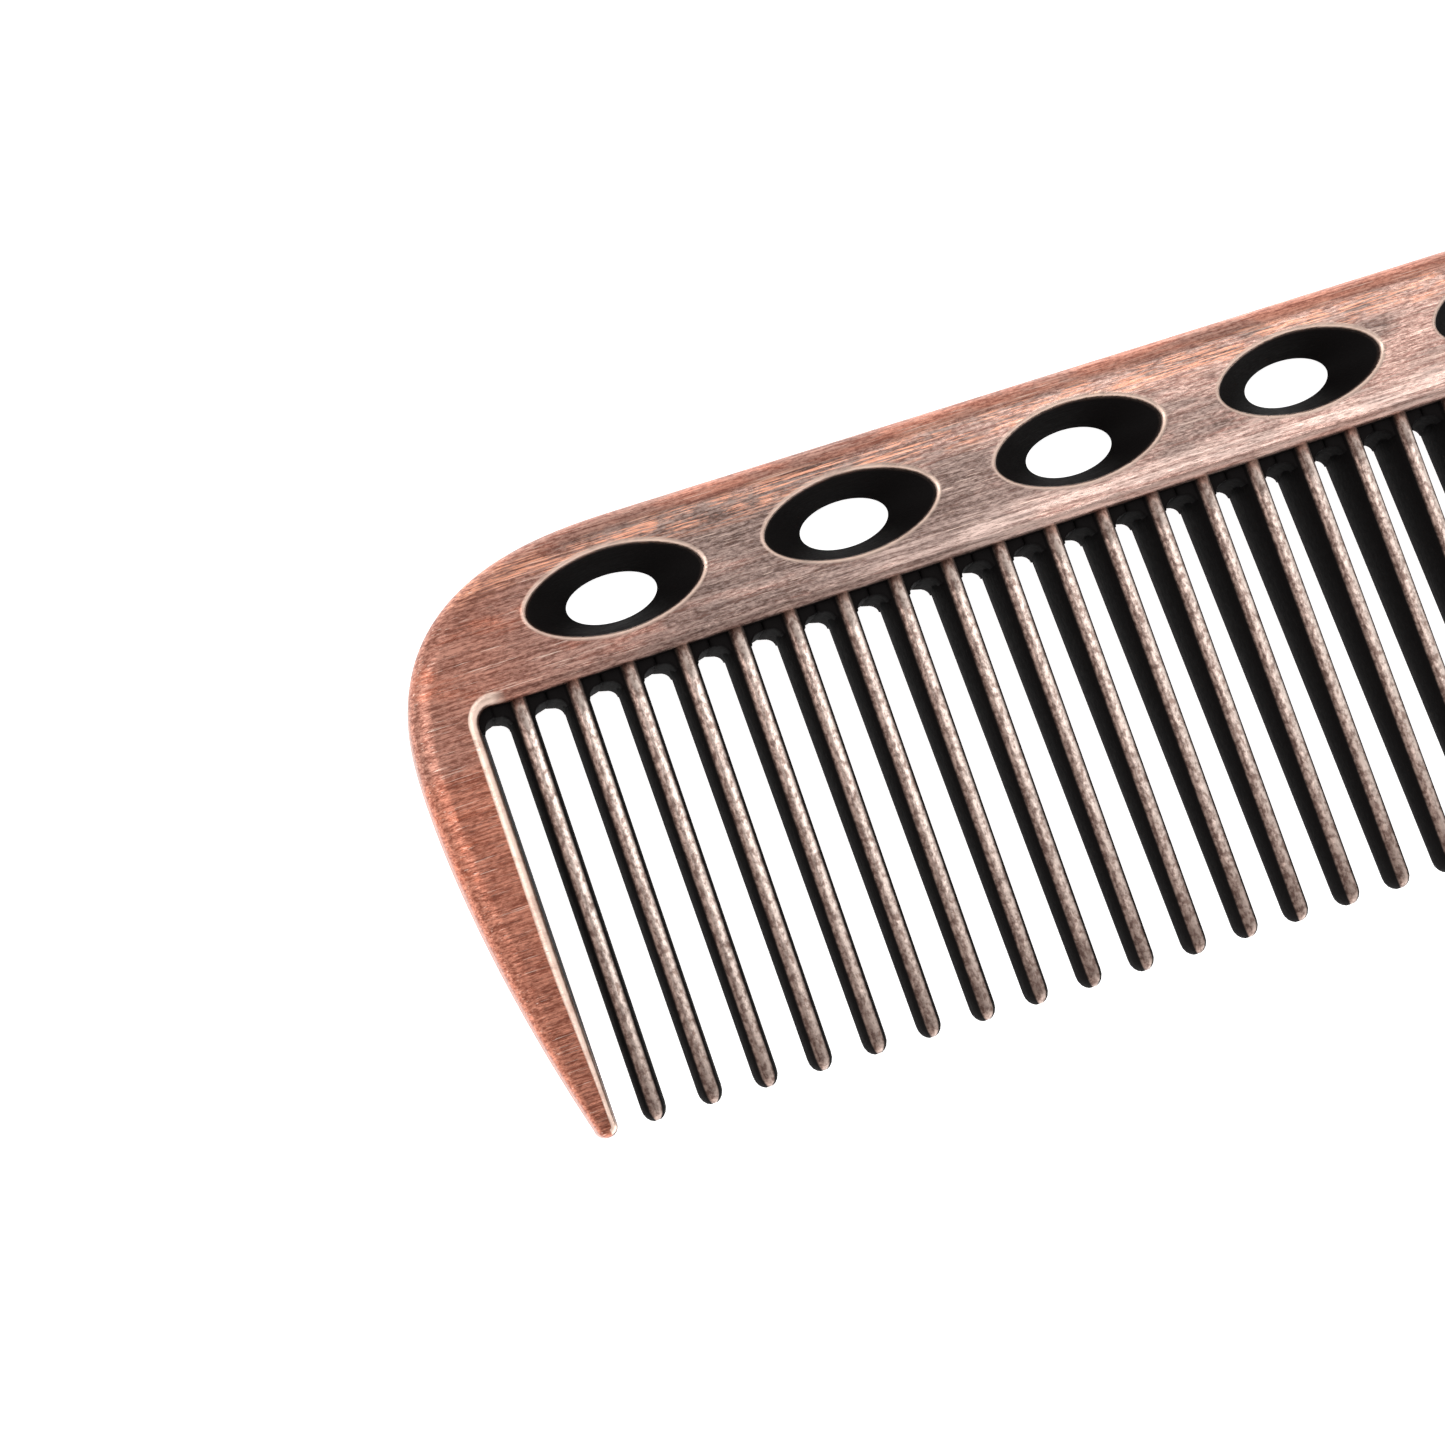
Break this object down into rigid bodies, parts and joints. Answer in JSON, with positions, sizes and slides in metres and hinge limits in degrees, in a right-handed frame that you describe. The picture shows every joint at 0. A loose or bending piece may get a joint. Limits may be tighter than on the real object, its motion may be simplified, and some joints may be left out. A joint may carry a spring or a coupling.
{
  "type": "barber comb",
  "caption": "Cast metal barber's comb in antique copper finish, with a thick spine pierced by flared oval holes, a fine straight row of teeth and broad curved end teeth.",
  "frame": {"origin": "centre of the comb's outline on the plane of its back face", "axes": "+X along the spine towards the right guard tooth, +Y from the tooth tips to the spine, +Z out of the front face; the comb lies flat on its back face"},
  "size_m": [0.1666, 0.032, 0.0046],
  "materials": {
    "copper_spine": "antique copper plating, brushed along the spine, worn bright at the edges",
    "copper_guard": "antique copper plating, brushed across the tooth",
    "bronze_tooth": "dark antique copper plating over the cast texture, rubbed bright along the crown"
  },
  "bodies": {
    "root": {"spine": "copper_spine", "left_guard_tooth": "copper_guard", "right_guard_tooth": "copper_guard", "tooth_01": "bronze_tooth", "tooth_02": "bronze_tooth", "tooth_03": "bronze_tooth", "tooth_04": "bronze_tooth", "tooth_05": "bronze_tooth", "tooth_06": "bronze_tooth", "tooth_07": "bronze_tooth", "tooth_08": "bronze_tooth", "tooth_09": "bronze_tooth", "tooth_10": "bronze_tooth", "tooth_11": "bronze_tooth", "tooth_12": "bronze_tooth", "tooth_13": "bronze_tooth", "tooth_14": "bronze_tooth", "tooth_15": "bronze_tooth", "tooth_16": "bronze_tooth", "tooth_17": "bronze_tooth", "tooth_18": "bronze_tooth", "tooth_19": "bronze_tooth", "tooth_20": "bronze_tooth", "tooth_21": "bronze_tooth", "tooth_22": "bronze_tooth", "tooth_23": "bronze_tooth", "tooth_24": "bronze_tooth", "tooth_25": "bronze_tooth", "tooth_26": "bronze_tooth", "tooth_27": "bronze_tooth", "tooth_28": "bronze_tooth", "tooth_29": "bronze_tooth", "tooth_30": "bronze_tooth", "tooth_31": "bronze_tooth", "tooth_32": "bronze_tooth", "tooth_33": "bronze_tooth", "tooth_34": "bronze_tooth", "tooth_35": "bronze_tooth", "tooth_36": "bronze_tooth", "tooth_37": "bronze_tooth", "tooth_38": "bronze_tooth", "tooth_39": "bronze_tooth", "tooth_40": "bronze_tooth", "tooth_41": "bronze_tooth", "tooth_42": "bronze_tooth", "tooth_43": "bronze_tooth", "tooth_44": "bronze_tooth", "tooth_45": "bronze_tooth", "tooth_46": "bronze_tooth", "tooth_47": "bronze_tooth", "tooth_48": "bronze_tooth", "tooth_49": "bronze_tooth", "tooth_50": "bronze_tooth", "tooth_51": "bronze_tooth", "tooth_52": "bronze_tooth", "tooth_53": "bronze_tooth", "tooth_54": "bronze_tooth"}
  },
  "joints": []
}
